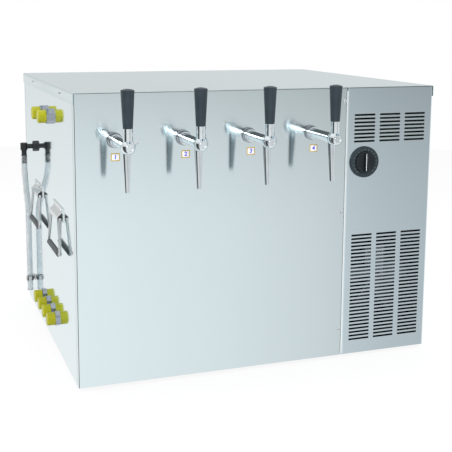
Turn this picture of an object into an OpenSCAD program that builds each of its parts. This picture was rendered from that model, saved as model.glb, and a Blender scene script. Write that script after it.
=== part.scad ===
// Water bath beer cooler: a stainless cabinet with four taps, a chilled water bath with
// four beer coils, and a refrigeration unit behind a slotted service panel.
// Heights are measured from the cabinet underside, widths from its left face and
// depths from its front face. Sizes are in millimetres.

/* [Cabinet] */
// Overall cabinet width
cab_w = 750; // [650:1:900]
// Cabinet depth, front face to rear face
cab_d = 640; // [560:1:760]
// Cabinet height without the feet
cab_h = 560; // [520:1:660]
// Width of the service panel at the right
service_w = 197; // [180:1:240]
// Sheet thickness of the panels
sheet = 1.2; // [0.8:0.1:2]
// Outer bend radius of the folded edges
bend_r = 3; // [2.5:0.1:5]
// Depth of the folded return edges
return_w = 16; // [12:1:24]
// Depth of the top cover's side lips
cover_lip = 22; // [16:1:32]
// Visible gap between neighbouring panels
seam_gap = 0.8; // [0.4:0.1:1.5]
// Free space between fixed pieces that slide together
fit_gap = 0.3; // [0.3:0.05:0.6]
// Running clearance of turning pieces, on the radius
run_gap = 0.05; // [0.02:0.01:0.1]
// Radius of the rubber feet
foot_r = 16; // [12:1:22]
// Height of the rubber feet
foot_h = 8; // [5:1:20]
// Distance of each foot centre from the cabinet faces
foot_inset = 60; // [40:1:90]

/* [Bath] */
// Thickness of the foam around the bath
foam_t = 40; // [30:1:55]
// Height of the bath rim below the cabinet top
rim_drop = 120; // [115:1:150]
// Sheet thickness of the bath
tank_t = 1; // [0.8:0.1:2]
// Corner radius of the bath
tank_corner = 25; // [15:1:40]
// Thickness of the bath lid board
deck_t = 14; // [10:1:16]
// Radius of the beer coils
coil_r = 72; // [70:1:76]
// Turns of each beer coil
coil_turns = 4; // [3:1:5]
// Rise of the beer coils in one turn
coil_pitch = 58; // [40:1:60]
// Height where the beer coils start
coil_z = 106; // [102:1:112]
// Tube radius of the beer coils
beer_tube_r = 4; // [3:0.5:5]
// Turns of the evaporator
evap_turns = 4; // [3:1:5]
// Rise of the evaporator in one turn
evap_pitch = 64; // [40:1:66]
// Tube radius of the evaporator
evap_tube_r = 5; // [4:0.5:6]

/* [Taps] */
// Distance of the first tap from the left face
tap_first = 74; // [60:1:90]
// Distance of the last tap from the panel seam
tap_last = 80; // [60:1:100]
// Height of the tap axis below the cabinet top
tap_drop = 88; // [80:1:90]
// Radius of the tap shank
shank_r = 8; // [7:0.5:9]
// Radius of the wall flange
flange_r = 15; // [13:0.5:20]
// Thickness of the wall flange
flange_t = 5; // [3:0.5:8]
// Radius of the tap barrel
barrel_r = 9.5; // [9:0.5:11]
// Radius of the ball at the front of the tap
ball_r = 13.5; // [13:0.5:16]
// Distance of the ball centre from the front panel
ball_reach = 105; // [95:1:125]
// Length of the spout below the tap axis
spout_len = 82; // [60:1:100]
// Outer radius of the spout where it leaves the barrel
spout_top_r = 8.2; // [7:0.1:9]
// Outer radius of the spout mouth
spout_tip_r = 4.8; // [4.6:0.1:7]
// Radius of the spout bore
spout_bore_r = 3.6; // [3:0.1:4.6]
// Forward lean of the spout
spout_lean = 5; // [0:1:12]
// Radius of the lever ferrule
ferrule_r = 8.8; // [7.5:0.1:10]
// Height of the ferrule top above the tap axis
ferrule_top = 33; // [28:1:40]
// Height of the grip top above the tap axis
grip_top = 102; // [85:1:130]
// Radius of the grip at its top
grip_r = 12.3; // [10:0.1:15]
// Forward swing of the lever
lever_open = 40; // [25:1:42]
// Length of the compensator paddle
paddle_len = 17; // [12:1:22]

/* [Service panel] */
// Length of the vent slots
slot_l = 47; // [35:1:50]
// Height of the vent slots
slot_h = 4; // [2:0.5:5]
// Height from slot to slot
slot_pitch = 7.7; // [6:0.1:10]
// Distance between the slot columns
slot_column = 58; // [52:1:62]
// Height of the lowest slot
slot_low_z = 30.5; // [25:0.5:50]
// Height of the upper field's lowest slot below the cabinet top
slot_drop = 110.5; // [80:0.5:115]
// Distance of the thermostat axis from the panel seam
dial_x = 41; // [36:1:60]
// Height of the thermostat axis below the cabinet top
dial_drop = 153; // [150:1:180]
// Outer radius of the thermostat bezel
bezel_r = 32; // [28:1:35]
// Radius of the thermostat knob
knob_r = 22; // [18:1:24]
// Radius of the fan blades
fan_r = 74; // [60:1:80]

/* [Connections] */
// Radius of the connector stems
stem_r = 11.4; // [9:0.1:12]
// Wall of the protective caps
cap_wall = 2; // [1.5:0.1:3]
// Length of the protective caps
cap_len = 17; // [14:1:22]
// Depth position of the beer inlet group
inlet_mid_y = 317; // [300:1:340]
// Distance between beer inlets
inlet_pitch = 57.5; // [50:0.5:58]
// Height of the beer inlets
inlet_z = 66; // [62:1:70]
// Depth position of the water connector pair
water_mid_y = 301; // [280:1:340]
// Distance between the water connectors
water_pitch = 78; // [60:1:100]
// Height of the water connectors below the cabinet top
water_drop = 68; // [55:1:80]
// Depth position of the overflow elbow
overflow_y = 474; // [450:1:500]
// Height of the overflow elbow below the bath rim
overflow_drop = 38; // [25:1:60]
// Distance of the elbow leg from the left face
elbow_leg = 27; // [22:1:35]
// Outer radius of the overflow hose
hose_r = 7; // [5.5:0.5:8]
// Depth position of the lower hose run
hose_y = 541; // [530:1:580]
// Height of the hose end
hose_end_z = 42; // [20:1:60]

/* [Handles] */
// Depth position of the front handles
handle_front_y = 181; // [150:1:220]
// Depth position of the rear handles
handle_rear_y = 436; // [380:1:460]
// Height of the handle pivots
handle_z = 300; // [260:1:340]
// Width of the handle hoods
handle_w = 90; // [70:1:110]
// Drop of the bail below its pivot
bail_drop = 68; // [55:1:90]
// Radius of the bail rod
bail_r = 3; // [2.5:0.5:4]
// Radius of the bail grip
bail_grip_r = 5.5; // [5:0.5:7]
// Outward lean of the hanging bail
bail_lean = 4; // [3:1:12]

/* [Hidden] */
$fn = 48;
seam_x = cab_w - service_w;
rim_z = cab_h - rim_drop;
tap_pitch = (seam_x - tap_first - tap_last) / 3;
tap_z = cab_h - tap_drop;
slot_high_z = cab_h - slot_drop;
dial_z = cab_h - dial_drop;
water_z = cab_h - water_drop;
overflow_z = rim_z - overflow_drop;
pan_lip = 20;
panel_h = cab_h - sheet - seam_gap;
skin = 2 * sheet + 3 * fit_gap;
foam_right = seam_x - seam_gap / 2 - sheet - fit_gap;
tank_x0 = skin + foam_t;
tank_x1 = foam_right - foam_t;
tank_y0 = skin + foam_t;
tank_y1 = cab_d - skin - foam_t;
tank_z0 = sheet + foam_t;
tank_mid_x = (tank_x0 + tank_x1) / 2;
tank_mid_y = (tank_y0 + tank_y1) / 2;
deck_top = rim_z + deck_t;
cover_out = sheet + fit_gap;
screw_r = 2;
screw_head_r = 3.6;
screw_l = 5;
seam_screw_in = 6;
seam_screw_low = 56;
seam_screw_mid = 305;
seam_screw_drop = 28;
cover_screw_drop = 10;
cover_screw_front = 134;
cover_screw_rear = 160;
// the two coil columns stand beside the middles of their tap pairs, so that every run can turn in
left_jog = 36;
right_jog = -22;
coil_corner = 50;
coil_tilt = asin(coil_pitch / (4 * coil_r));
coil_run_r = coil_r * cos(coil_tilt);
coil_dy = inlet_pitch / 2 + coil_run_r;
// bend from the riser into the coil, so that both rows of coils stand over their inlets
coil_bend = coil_run_r - inlet_pitch;
pipe_bend = 8;
socket = 1.2;
fitting_t = 0.3;
shank_in = 44;
hub_r = 6.5;
stem_pin_r = 4;
slot_w = 9;
comp_y = 78;
evap_in = 26;
evap_bend = 7;
evap_jog = 16;
evap_corner = 45;
evap_hx = (tank_x1 - tank_x0) / 2 - evap_in;
evap_hy = (tank_y1 - tank_y0) / 2 - evap_in;
evap_tilt = asin(evap_pitch / (4 * evap_hy));
evap_run = evap_hy * cos(evap_tilt);
evap_z = tank_z0 + 50;
evap_tails = [[tank_mid_x - evap_hx / 2, tank_mid_y - evap_run],
    [tank_mid_x + evap_hx / 3, tank_mid_y - evap_run - evap_jog]];
stem_in = 12;
nut_corner_r = 16.5;
beer_nut_t = 5;
water_nut_t = 9;
cap_r = stem_r + fit_gap + cap_wall;
stem_out = cap_len - cap_wall - 1;
elbow_r = 8;
hose_bore_r = hose_r - 1.4;
hose_gap = 5;
hose_x = -(hose_r + hose_gap);
leg_bottom_z = overflow_z - 20;
hose_plug = 20;
hose_drop = hose_plug;
hose_sweep = 138;
clip_z = hose_end_z + 24;
fan_motor_r = 34;
fan_motor_l = 46;
fan_arm_over = 14;
fan_hub_r = 15;
fan_hub_l = 18;
pivot_out = 6.5;
pin_r = 2.5;
bush_r = 4;
bush_l = 18;
plate_t = 2;
plate_top = 22;
plate_low = 6;
plate_edge = 11;
hood_top = 13;
hood_out = 11.2;
hood_z = 5;
hood_lip = 3;
hood_t = 1.4;
plug_t = 1.4;
leg_top = handle_w / 2 + plug_t + bail_r + 0.8;
leg_low = leg_top + 15;
dial_cx = seam_x + dial_x;
fan_x = seam_x + service_w / 2;
fan_z = slot_low_z + 14.5 * slot_pitch;
fan_y = 30;
fan_depth = 24;
shroud_y = fan_y + fan_depth + 4;
shaft_r = 4;
pot_y = 430;
pot_r = 72;
pot_h = 190;
grommet_h = 14;
grommet_r = 11;
grommet_pin_r = 7;
pot_foot_w = 160;
pot_foot_d = 120;
pot_foot_t = 3;
pot_box_w = 48;
pot_box_h = 60;
stirrer_r = 40;
stirrer_h = 62;
stirrer_flange_r = 46;
stirrer_flange_t = 4;
impeller_r = 38;
impeller_h = 22;
condenser_y = shroud_y + 68;
gland_x = cab_w - 60;
gland_z = 70;
gland_out = 20;
sides = [0, 1];
handle_ys = [handle_front_y, handle_rear_y];
bail_x = pivot_out + bail_drop * sin(bail_lean) + bail_grip_r;
x_min = -(elbow_leg + elbow_r);
x_max = cab_w + bail_x;
y_min = -(ball_reach + grip_r);
y_max = cab_d + gland_out;
mid_x = (x_min + x_max) / 2;
mid_y = (y_min + y_max) / 2;

function tap_x(i) = tap_first + (i - 1) * tap_pitch;
function inlet_y(i) = inlet_mid_y + (i - 2.5) * inlet_pitch;
function water_y(i) = water_mid_y + (i - 1.5) * water_pitch;
// coils 1 and 2 stand at the left, 3 and 4 at the right; 1 and 3 stand in front
function coil_x(k) = k < 3 ? tap_x(1.5) + left_jog : tap_x(3.5) + right_jog;
function coil_y(k) = inlet_mid_y + (k % 2 == 1 ? -coil_dy : coil_dy);
function coil_angle(k) = k == 1 ? 0 : k == 2 ? 180 : k == 3 ? 90 : -90;
function coil_tap(k) = k == 1 ? 2 : k == 2 ? 1 : k == 3 ? 4 : 3;
// start of a coil, and its heading there
function coil_start(k) = [coil_x(k), coil_y(k)] + coil_run_r * [cos(coil_angle(k)), sin(coil_angle(k))];
function coil_heading(k) = [sin(coil_angle(k)), -cos(coil_angle(k))];
function coil_foot(k) = coil_start(k) - coil_bend * coil_heading(k);
function coil_exit(k) = coil_start(k) + coil_bend * coil_heading(k);
// rest angle of the compensator paddle: 0 points forward, 90 up, 180 back
function paddle_angle(i) = i == 1 ? 40 : 172;

module to_origin() {
    translate([-mid_x, -mid_y, foot_h]) children();
}

module out_front() {
    rotate([90, 0, 0]) children();
}

module out_left() {
    rotate([0, -90, 0]) children();
}

// straight round bar between two points
module rod(a, b, r) {
    v = b - a;
    translate(a)
        rotate([0, acos(v.z / norm(v)), atan2(v.y, v.x)])
        cylinder(r = r, h = norm(v));
}

// piped line along points: straight tubes pushed into elbow fittings of bend radius b
module pipe_run(p, r, b) {
    n = len(p) - 1;
    d = [for (i = [0 : n - 1]) (p[i + 1] - p[i]) / norm(p[i + 1] - p[i])];
    cut = b - socket;
    for (i = [0 : n - 1])
        rod(p[i] + (i == 0 ? 0 : cut) * d[i], p[i + 1] - (i == n - 1 ? 0 : cut) * d[i], r);
    for (i = [1 : n - 1]) {
        u = d[i];
        v = d[i - 1];
        w = cross(v, u);
        c = p[i] - b * v + b * u;
        multmatrix([[-u.x, v.x, w.x, c.x], [-u.y, v.y, w.y, c.y], [-u.z, v.z, w.z, c.z]])
            rotate_extrude(angle = 90) translate([b, 0]) circle(r = r + fitting_t);
    }
}

// sleeve over two tube ends that meet at a point
module sleeve(p, d, r) {
    rod(p - 4 * d, p + 4 * d, r + fitting_t);
}

// folded sheet seen from above: a front with two returns
module channel_2d(w, d) {
    translate([bend_r, 0]) square([w - 2 * bend_r, sheet]);
    translate([0, bend_r]) square([sheet, d - bend_r]);
    translate([w - sheet, bend_r]) square([sheet, d - bend_r]);
    intersection() {
        translate([bend_r, bend_r]) difference() {
            circle(r = bend_r);
            circle(r = bend_r - sheet);
        }
        square(bend_r);
    }
    intersection() {
        translate([w - bend_r, bend_r]) difference() {
            circle(r = bend_r);
            circle(r = bend_r - sheet);
        }
        translate([w - bend_r, 0]) square(bend_r);
    }
}

module round_rect_2d(x0, y0, x1, y1, r) {
    translate([x0 + r, y0]) square([x1 - x0 - 2 * r, y1 - y0]);
    translate([x0, y0 + r]) square([x1 - x0, y1 - y0 - 2 * r]);
    for (x = [x0 + r, x1 - r]) for (y = [y0 + r, y1 - r]) translate([x, y]) circle(r = r);
}

// half profile of a turned piece with one rounded outer edge at its free end
module turned_2d(r0, r1, h, edge) {
    translate([r0, 0]) square([r1 - r0, h - edge]);
    translate([r0, 0]) square([r1 - edge - r0, h]);
    intersection() {
        translate([r1 - edge, h - edge]) circle(r = edge);
        translate([r1 - edge, h - edge]) square(edge);
    }
}

module slot_field(mid_x, z0, rows) {
    for (c = [-1 : 1]) for (k = [0 : rows - 1])
        translate([mid_x + c * slot_column - slot_l / 2, -1, z0 + k * slot_pitch - slot_h / 2])
            cube([slot_l, sheet + 2, slot_h]);
}

// every screw stands at a point with its outward direction
module seam_screws() {
    for (z = [seam_screw_low, seam_screw_mid, cab_h - seam_screw_drop])
        translate([seam_x - seam_screw_in, 0, z]) out_front() children();
}

module cover_screws() {
    for (y = [cover_screw_front, cab_d - cover_screw_rear]) {
        translate([-cover_out, y, cab_h - cover_screw_drop]) out_left() children();
        translate([cab_w + cover_out, y, cab_h - cover_screw_drop]) rotate([0, 90, 0]) children();
    }
}

module screw_holes() {
    translate([0, 0, -screw_l - 1]) cylinder(r = screw_r + fit_gap, h = screw_l + 3);
}

module base_pan() {
    i = sheet + fit_gap;
    color("lightgrey") difference() {
        translate([i, i, 0]) cube([cab_w - 2 * i, cab_d - 2 * i, pan_lip]);
        translate([i + sheet, i + sheet, sheet])
            cube([cab_w - 2 * i - 2 * sheet, cab_d - 2 * i - 2 * sheet, pan_lip]);
        translate([seam_x - 4, 0, -1]) cube([8, return_w + 2, pan_lip + 2]);
    }
}

module feet() {
    color("black")
    for (x = [foot_inset, cab_w - foot_inset]) for (y = [foot_inset, cab_d - foot_inset])
        translate([x, y, 0]) rotate([180, 0, 0])
        rotate_extrude() turned_2d(0, foot_r, foot_h, 2.5);
}

module front_panel() {
    color("lightsteelblue") difference() {
        linear_extrude(panel_h) channel_2d(seam_x - seam_gap / 2, return_w);
        for (i = [1 : 4]) translate([tap_x(i), 2, tap_z])
            out_front() cylinder(r = shank_r + fit_gap, h = 6);
        seam_screws() screw_holes();
    }
}

module service_panel() {
    color("lightsteelblue") difference() {
        translate([seam_x + seam_gap / 2, 0, 0])
            linear_extrude(panel_h) channel_2d(service_w - seam_gap / 2, return_w);
        slot_field(fan_x, slot_low_z, 30);
        slot_field(fan_x, slot_high_z, 8);
        translate([dial_cx, 2, dial_z]) out_front() cylinder(r = 6, h = 6);
    }
}

module side_sheet() {
    y0 = return_w + seam_gap;
    translate([0, y0, 0]) cube([sheet, cab_d - 2 * y0, panel_h]);
}

module left_panel() {
    color("lightsteelblue") difference() {
        side_sheet();
        for (i = [1 : 4]) translate([2, inlet_y(i), inlet_z])
            out_left() cylinder(r = stem_r + fit_gap, h = 6);
        for (i = [1 : 2]) translate([2, water_y(i), water_z])
            out_left() cylinder(r = stem_r + fit_gap, h = 6);
        translate([2, overflow_y, overflow_z]) out_left() cylinder(r = elbow_r - 2 + fit_gap, h = 6);
        cover_screws() screw_holes();
    }
}

module right_panel() {
    color("lightsteelblue") difference() {
        translate([cab_w - sheet, 0, 0]) side_sheet();
        cover_screws() screw_holes();
    }
}

module rear_panel() {
    color("lightsteelblue") difference() {
        translate([cab_w, cab_d, 0]) rotate([0, 0, 180])
            linear_extrude(panel_h) channel_2d(cab_w, return_w);
        translate([0, cab_d - sheet, 0]) slot_field(fan_x, slot_low_z + 8 * slot_pitch, 22);
        translate([gland_x, cab_d - 2, gland_z]) rotate([-90, 0, 0]) cylinder(r = 8 + fit_gap, h = 6);
    }
}

module top_cover() {
    lip_w = cab_w + 2 * cover_out;
    color("lightsteelblue") difference() {
        union() {
            translate([-cover_out, 0, cab_h]) rotate([-90, 0, 0])
                linear_extrude(cab_d + cover_out) channel_2d(lip_w, cover_lip);
            translate([0, cab_d + fit_gap, cab_h - cover_lip])
                cube([cab_w, sheet, cover_lip - sheet / 2]);
        }
        cover_screws() screw_holes();
    }
}

module cabinet_screws() {
    color("silver") {
        seam_screws() screw();
        cover_screws() screw();
    }
}

module screw() {
    dome_r = 1.2 * screw_head_r;
    translate([0, 0, -screw_l]) cylinder(r = screw_r, h = screw_l + 0.2);
    intersection() {
        cylinder(r = screw_head_r, h = screw_head_r);
        translate([0, 0, -dome_r / 2]) sphere(r = dome_r);
    }
}

module insulation() {
    color("khaki") difference() {
        translate([skin, skin, sheet])
            cube([foam_right - skin, cab_d - 2 * skin, rim_z - sheet]);
        translate([0, 0, tank_z0]) linear_extrude(rim_z)
            round_rect_2d(tank_x0, tank_y0, tank_x1, tank_y1, tank_corner);
        for (i = [1 : 4]) {
            translate([stem_in + 3, inlet_y(i), inlet_z]) out_left() cylinder(r = nut_corner_r, h = stem_in + 6);
            translate([tank_x0 + 5, inlet_y(i), inlet_z]) out_left() cylinder(r = beer_tube_r + fit_gap, h = foam_t);
        }
        translate([tank_x0 + 5, overflow_y, overflow_z]) out_left() cylinder(r = elbow_r - 2 + fit_gap, h = foam_t + 10);
        seam_screws() screw_holes();
    }
}

module bath_tank() {
    g = fit_gap;
    color("silver") difference() {
        translate([0, 0, tank_z0]) linear_extrude(rim_z - tank_z0)
            round_rect_2d(tank_x0 + g, tank_y0 + g, tank_x1 - g, tank_y1 - g, tank_corner - g);
        translate([0, 0, tank_z0 + tank_t]) linear_extrude(rim_z)
            round_rect_2d(tank_x0 + g + tank_t, tank_y0 + g + tank_t, tank_x1 - g - tank_t,
                tank_y1 - g - tank_t, tank_corner - g - tank_t);
        for (i = [1 : 4]) translate([tank_x0 + 5, inlet_y(i), inlet_z])
            out_left() cylinder(r = beer_tube_r + fit_gap, h = 10);
        translate([tank_x0 + 5, overflow_y, overflow_z]) out_left() cylinder(r = elbow_r - 2 + fit_gap, h = 10);
    }
}

module bath_deck() {
    color("white") difference() {
        translate([skin, skin, rim_z]) cube([foam_right - skin, cab_d - 2 * skin, deck_t]);
        for (k = [1 : 4]) translate([coil_exit(k).x, coil_exit(k).y, rim_z - 1])
            cylinder(r = beer_tube_r + fit_gap, h = deck_t + 2);
        translate([tank_mid_x, inlet_mid_y, rim_z - 1]) cylinder(r = shaft_r + 3, h = deck_t + 2);
        for (p = evap_tails) translate([p.x, p.y, rim_z - 1])
            cylinder(r = evap_tube_r + fit_gap, h = deck_t + 2);
    }
}

// left half of a rounded-square turn in its own plane: two bends and the tube between them
module half_turn(hx, hy, c, r) {
    for (s = [-1, 1]) translate([-(hx - c), s * (hy - c), 0]) rotate([0, 0, s > 0 ? 90 : 180])
        rotate_extrude(angle = 90) translate([c, 0]) circle(r = r + fitting_t);
    rod([-hx, -(hy - c) - socket, 0], [-hx, hy - c + socket, 0], r);
}

// rising turns that start at the front middle, heading left
module wound(hx, hy, c, r, turns, pitch) {
    tilt = asin(pitch / (4 * hy));
    front = -hy * cos(tilt);
    end_x = hx - c + socket;
    last = 2 * turns;
    for (k = [0 : last - 1]) translate([0, 0, pitch / 4 + k * pitch / 2])
        rotate([0, 0, 180 * k]) rotate([tilt, 0, 0]) half_turn(hx, hy, c, r);
    for (k = [0 : last]) rotate([0, 0, 180 * k])
        rod([k == last ? 0 : -end_x, front, k * pitch / 2], [k == 0 ? 0 : end_x, front, k * pitch / 2], r);
}

module evaporator_coil() {
    top = evap_z + evap_turns * evap_pitch;
    front = tank_mid_y - evap_run;
    out_z = deck_top + evap_tube_r + 2;
    color("peru") {
        translate([tank_mid_x, tank_mid_y, evap_z])
            wound(evap_hx, evap_hy, evap_corner, evap_tube_r, evap_turns, evap_pitch);
        // tails: up over the rim and across to the machine side
        sleeve([tank_mid_x, front, top], [1, 0, 0], evap_tube_r);
        sleeve([tank_mid_x, front, evap_z], [1, 0, 0], evap_tube_r);
        pipe_run([[tank_mid_x - 0.5, front, top], [evap_tails[0].x, front, top],
            [evap_tails[0].x, front, out_z], [foam_right + 20, front, out_z]], evap_tube_r, evap_bend);
        pipe_run([[tank_mid_x + 0.5, front, evap_z], [evap_tails[1].x, front, evap_z],
            [evap_tails[1].x, evap_tails[1].y, evap_z], [evap_tails[1].x, evap_tails[1].y, out_z],
            [foam_right + 20, evap_tails[1].y, out_z]], evap_tube_r, evap_bend);
    }
}

// one beer line: from its stem, up into the coil, and from the coil's top to its tap shank
module beer_coil(k) {
    foot = coil_foot(k);
    start = coil_start(k);
    exit = coil_exit(k);
    top = coil_z + coil_turns * coil_pitch;
    x_tap = tap_x(coil_tap(k));
    translate([coil_x(k), coil_y(k), coil_z]) rotate([0, 0, coil_angle(k) + 90])
        wound(coil_r, coil_r, coil_corner, beer_tube_r, coil_turns, coil_pitch);
    h = [coil_heading(k).x, coil_heading(k).y, 0];
    low_end = [start.x, start.y, coil_z];
    top_end = [start.x, start.y, top];
    pipe_run([[stem_in, foot.y, inlet_z], [foot.x, foot.y, inlet_z], [foot.x, foot.y, coil_z],
        low_end - 0.5 * h], beer_tube_r, pipe_bend);
    sleeve(low_end, h, beer_tube_r);
    sleeve(top_end, h, beer_tube_r);
    up = [top_end + 0.5 * h, [exit.x, exit.y, top], [exit.x, exit.y, tap_z]];
    side = k % 2 == 1 ? [[x_tap, exit.y, tap_z]]
        : [[exit.x, shank_in + 40, tap_z], [x_tap, shank_in + 40, tap_z]];
    pipe_run(concat(up, side, [[x_tap, shank_in, tap_z]]), beer_tube_r, pipe_bend);
}

module beer_coils() {
    color("silver") for (k = [1 : 4]) beer_coil(k);
}

module agitator_motor() {
    color("dimgrey") translate([tank_mid_x, inlet_mid_y, deck_top]) difference() {
        union() {
            rotate_extrude() turned_2d(0, stirrer_r, stirrer_h, 6);
            cylinder(r = stirrer_flange_r, h = stirrer_flange_t);
            for (a = [0 : 90 : 270]) rotate(a) translate([stirrer_r - 2, -3, stirrer_flange_t])
                cube([4, 6, stirrer_h - 12]);
        }
        translate([0, 0, -1]) cylinder(r = shaft_r + run_gap, h = stirrer_h / 2);
    }
}

module agitator_rotor() {
    low = tank_z0 + 70;
    color("silver") translate([tank_mid_x, inlet_mid_y, 0]) {
        translate([0, 0, low]) cylinder(r = shaft_r, h = deck_top + stirrer_h / 2 - 3 - low);
        translate([0, 0, low]) cylinder(r = 9, h = impeller_h);
        intersection() {
            for (a = [0 : 120 : 240]) rotate(a) translate([0, 0, low + impeller_h / 2])
                rotate([35, 0, 0]) translate([0, -10, -1]) cube([impeller_r + 4, 20, 2]);
            translate([0, 0, low]) cylinder(r = impeller_r, h = impeller_h);
        }
    }
}

module compressor() {
    z0 = sheet + grommet_h;
    color("black") translate([fan_x, pot_y, z0]) difference() {
        union() {
            translate([0, 0, 12]) rotate_extrude() turned_2d(0, pot_r, pot_h - 12, 42);
            cylinder(r = pot_r - 10, h = 14);
            translate([-pot_foot_w / 2, -pot_foot_d / 2, 0]) cube([pot_foot_w, pot_foot_d, pot_foot_t]);
            translate([-pot_box_w / 2, -pot_r - 22, 50]) cube([pot_box_w, 40, pot_box_h]);
        }
        at_grommets() translate([0, 0, -1]) cylinder(r = grommet_pin_r + fit_gap, h = pot_foot_t + 3);
    }
}

module compressor_grommets() {
    color("dimgrey") translate([fan_x, pot_y, sheet])
    at_grommets() {
        cylinder(r = grommet_r, h = grommet_h);
        translate([0, 0, grommet_h]) cylinder(r = grommet_pin_r, h = pot_foot_t + 3);
    }
}

module at_grommets() {
    for (x = [-1, 1]) for (y = [-1, 1])
        translate([x * (pot_foot_w / 2 - 10), y * (pot_foot_d / 2 - 10), 0]) children();
}

module condenser() {
    w = service_w - 26;
    x0 = fan_x - w / 2;
    h = 256;
    d = 44;
    rows = 6;
    pitch = 40;
    color("darkgrey") translate([x0, condenser_y, sheet]) {
        for (x = [0, w - 1.5]) translate([x, 0, 0]) cube([1.5, d, h]);
        for (x = [8 : 7 : w - 8]) translate([x, 3, 8]) cube([0.8, d - 6, h - 14]);
        for (k = [0 : rows - 1]) for (y = [d * 0.3, d * 0.7])
            translate([-2, y, 24 + k * pitch]) rotate([0, 90, 0]) cylinder(r = 4, h = w + 4);
        translate([0, 0, 8]) cube([w, d, 1.5]);
        translate([0, 0, h - 8]) cube([w, d, 1.5]);
    }
}

module fan_shroud() {
    w = service_w - 14;
    h = 258;
    color("grey") difference() {
        union() {
            translate([fan_x - w / 2, shroud_y, sheet]) cube([w, 1.5, h]);
            translate([fan_x, shroud_y, fan_z]) out_front() cylinder(r = fan_r + 4, h = fan_depth - 4);
        }
        translate([fan_x, shroud_y + 3, fan_z]) out_front() cylinder(r = fan_r + 2.5, h = fan_depth + 4);
    }
}

module fan_motor() {
    color("black") translate([fan_x, shroud_y + 1.5, fan_z]) {
        translate([0, 3, 0]) rotate([-90, 0, 0]) rotate_extrude() turned_2d(0, fan_motor_r, fan_motor_l, 5);
        for (a = [45 : 90 : 315]) rotate([0, a, 0]) translate([0, 0, -5]) cube([fan_r + fan_arm_over, 4, 10]);
        translate([0, 4, 0]) out_front() cylinder(r = shaft_r, h = fan_depth + 3);
    }
}

module fan_blades() {
    color("silver") translate([fan_x, fan_y + 2, fan_z]) difference() {
        union() {
            rotate([-90, 0, 0]) cylinder(r = fan_hub_r, h = fan_hub_l);
            intersection() {
                for (a = [-20 : 72 : 268]) rotate([0, a, 0]) translate([8, 9, 0])
                    rotate([-28, 0, 0]) translate([0, -0.8, -21]) cube([fan_r, 1.6, 42]);
                rotate([-90, 0, 0]) cylinder(r = fan_r, h = 20);
            }
        }
        translate([0, 4, 0]) rotate([-90, 0, 0]) cylinder(r = shaft_r + run_gap, h = 20);
    }
}

module thermostat_body() {
    color("dimgrey") translate([dial_cx, sheet, dial_z]) {
        translate([-22, 0, -17]) cube([44, 30, 34]);
        translate([0, 2, 0]) out_front() cylinder(r = 3, h = 2 + sheet + 11);
    }
}

module thermostat_bezel() {
    color("dimgrey") translate([dial_cx, 0, dial_z]) out_front() {
        rotate_extrude() turned_2d(knob_r + 2 * fit_gap, bezel_r, 5, 2);
        rotate_extrude() translate([8, 0]) square([knob_r - 6, 2]);
    }
}

module thermostat_knob() {
    color("black") translate([dial_cx, -2 - fit_gap, dial_z]) out_front() difference() {
        union() {
            rotate_extrude() turned_2d(0, knob_r, 7, 1.5);
            translate([-4.5, -knob_r + 3, 0]) cube([9, 2 * knob_r - 6, 13]);
        }
        translate([0, 0, -1]) cylinder(r = 3 + run_gap, h = 11);
    }
}

module overflow_elbow() {
    r_in = elbow_r - 2;
    color("black") translate([0, overflow_y, overflow_z]) {
        translate([tank_x0 + 3, 0, 0]) out_left() cylinder(r = r_in, h = tank_x0 + 3);
        out_left() cylinder(r = 12, h = 7, $fn = 6);
        out_left() cylinder(r = elbow_r - 2.5, h = elbow_leg);
        translate([-elbow_leg, 0, -elbow_r]) cylinder(r = elbow_r, h = 2 * elbow_r);
        translate([-elbow_leg, 0, leg_bottom_z - overflow_z]) {
            cylinder(r = elbow_r - 2.2, h = overflow_z - leg_bottom_z);
            translate([0, 0, 1 - hose_plug]) cylinder(r = hose_bore_r - fit_gap, h = hose_plug);
        }
    }
}

// clear hose: an even S curve from the elbow leg in to the face, then straight down
module overflow_hose() {
    top = [-elbow_leg, overflow_y, leg_bottom_z];
    end = [hose_x, hose_y, hose_end_z];
    n = 10;
    z1 = top.z - hose_drop;
    z2 = z1 - hose_sweep;
    p = concat([top], [for (i = [0 : n]) let (t = i / n, e = (1 - cos(180 * t)) / 2)
        [top.x + e * (end.x - top.x), top.y + e * (end.y - top.y), z1 + t * (z2 - z1)]], [end]);
    color("white", 0.6) difference() {
        union() {
            for (i = [0 : n + 1]) rod(p[i], p[i + 1], hose_r);
            for (i = [1 : n + 1]) translate(p[i]) sphere(r = hose_r + 0.12);
        }
        translate(top - [0, 0, hose_plug]) cylinder(r = hose_bore_r, h = hose_plug + 1);
        translate(end - [0, 0, 1]) cylinder(r = hose_bore_r, h = hose_plug + 1);
    }
}

module hose_clip() {
    color("silver") translate([hose_x, hose_y, clip_z]) difference() {
        union() {
            cylinder(r = hose_r + 1.8, h = 10);
            translate([-hose_x - 1.5, -8, 0]) cube([1.5, 30, 10]);
            translate([0, hose_r - 0.2, 0]) cube([-hose_x, 2, 10]);
        }
        translate([0, 0, -1]) cylinder(r = hose_r + 0.05, h = 12);
    }
}

module at_inlets() {
    for (i = [1 : 4]) translate([0, inlet_y(i), inlet_z]) children();
}

module at_waters() {
    for (i = [1 : 2]) translate([0, water_y(i), water_z]) children();
}

// threaded connector through the left panel
module stem(nut_t) {
    difference() {
        translate([stem_in, 0, 0]) out_left() cylinder(r = stem_r, h = stem_in + nut_t + stem_out);
        translate([stem_in - 6, 0, 0]) out_left() cylinder(r = beer_tube_r, h = 100);
    }
}

module line_stems() {
    color("silver") {
        at_inlets() stem(beer_nut_t);
        at_waters() stem(water_nut_t);
    }
}

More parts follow.
